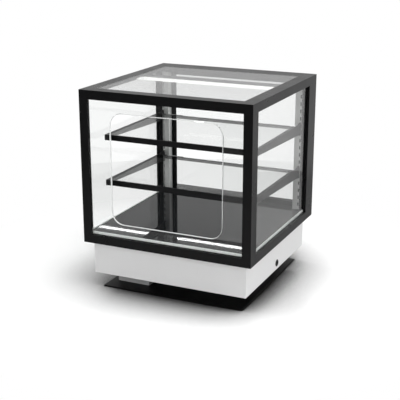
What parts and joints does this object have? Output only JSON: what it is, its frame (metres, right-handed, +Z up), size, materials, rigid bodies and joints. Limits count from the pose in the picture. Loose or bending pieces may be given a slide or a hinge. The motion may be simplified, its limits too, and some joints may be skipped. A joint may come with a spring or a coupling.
{
  "type": "drop-in heated display case",
  "caption": "Square glazed drop-in warming case on a white base: open rounded front cut-out, glass shelves, heated deck, roof light, rear door.",
  "frame": {"origin": "on the floor under the middle of the square plan", "axes": "+Z up, +X to the customer's right, +Y from the customer's side to the server's side"},
  "size_m": [0.6, 0.6, 0.684],
  "materials": {
    "black_frame": "satin black powder coat",
    "clear_glass": "clear polished",
    "deck_glass": "black glass ceramic, gloss",
    "silicone": "translucent silicone",
    "stainless": "brushed",
    "shelf_black": "satin black",
    "white_base": "satin white powder coat",
    "zinc_sheet": "galvanised",
    "heater_foil": "mica and foil",
    "insulation": "mineral wool board",
    "light_lens": "opal",
    "led_strip": "white board",
    "rubber": "matt",
    "black_plastic": "fine texture",
    "knob_plastic": "satin",
    "rocker_red": "gloss red",
    "rocker_black": "gloss",
    "amber_lamp": "translucent amber",
    "box_grey": "satin pale grey",
    "plate_black": "matt black",
    "brass": "turned",
    "ceramic_cream": "moulded",
    "screw_steel": "plain"
  },
  "bodies": {
    "case": {"front_post_left": "black_frame", "front_post_right": "black_frame", "rear_post_left": "black_frame", "rear_post_right": "black_frame", "top_rail_front": "black_frame", "top_rail_rear": "black_frame", "top_rail_left": "black_frame", "top_rail_right": "black_frame", "bottom_rail_front": "black_frame", "bottom_rail_rear": "black_frame", "bottom_rail_left": "black_frame", "bottom_rail_right": "black_frame", "front_glass": "clear_glass", "left_glass": "clear_glass", "right_glass": "clear_glass", "roof_glass": "clear_glass", "upper_shelf_glass": "clear_glass", "lower_shelf_glass": "clear_glass", "deck_glass": "deck_glass", "glass_edge_beads": "silicone", "upright_left": "stainless", "upright_right": "stainless", "control_plate": "stainless", "upper_shelf_arms": "shelf_black", "upper_shelf_front_rail": "shelf_black", "upper_shelf_rear_rail": "shelf_black", "lower_shelf_arms": "shelf_black", "lower_shelf_front_rail": "shelf_black", "lower_shelf_rear_rail": "shelf_black", "light_housing": "shelf_black", "base_casing": "white_base", "base_bottom": "zinc_sheet", "heater_tray": "zinc_sheet", "deck_heater": "heater_foil", "deck_insulation": "insulation", "light_lens": "light_lens", "led_strip": "led_strip", "cable_grommet": "rubber", "switch_frames": "black_plastic", "magnet_catch": "black_plastic", "pilot_lamp": "amber_lamp", "junction_box": "box_grey", "foot_plate": "plate_black", "spacer_legs": "plate_black", "pivot_bushes": "brass", "terminal_block": "ceramic_cream", "thermostat_body": "ceramic_cream", "plate_screws": "screw_steel"},
    "rear_door": {"door_stile_hinge": "black_frame", "door_stile_handle": "black_frame", "door_top_rail": "black_frame", "door_bottom_rail": "black_frame", "door_glass": "clear_glass", "door_handle": "stainless", "door_pivot_pins": "brass", "catch_strike": "screw_steel"},
    "knob": {"thermostat_knob": "knob_plastic", "thermostat_shaft": "screw_steel"},
    "power_switch": {"power_rocker": "rocker_red"},
    "light_switch": {"light_rocker": "rocker_black"}
  },
  "joints": [
    {"name": "rear_door_hinge", "type": "hinge", "parent": "case", "child": "rear_door", "pos_m": [0.2605, 0.2755, 0.43], "axis": [0, 0, -1], "range_deg": [0, 95]},
    {"name": "thermostat_turn", "type": "hinge", "parent": "case", "child": "knob", "pos_m": [0.08, 0.285, 0.113], "axis": [0, -1, 0], "range_deg": [0, 270]},
    {"name": "power_switch_rock", "type": "hinge", "parent": "case", "child": "power_switch", "pos_m": [0.14, 0.2775, 0.113], "axis": [-1, 0, 0], "range_deg": [0, 18]},
    {"name": "light_switch_rock", "type": "hinge", "parent": "case", "child": "light_switch", "pos_m": [0.18, 0.2775, 0.113], "axis": [-1, 0, 0], "range_deg": [0, 18]}
  ]
}
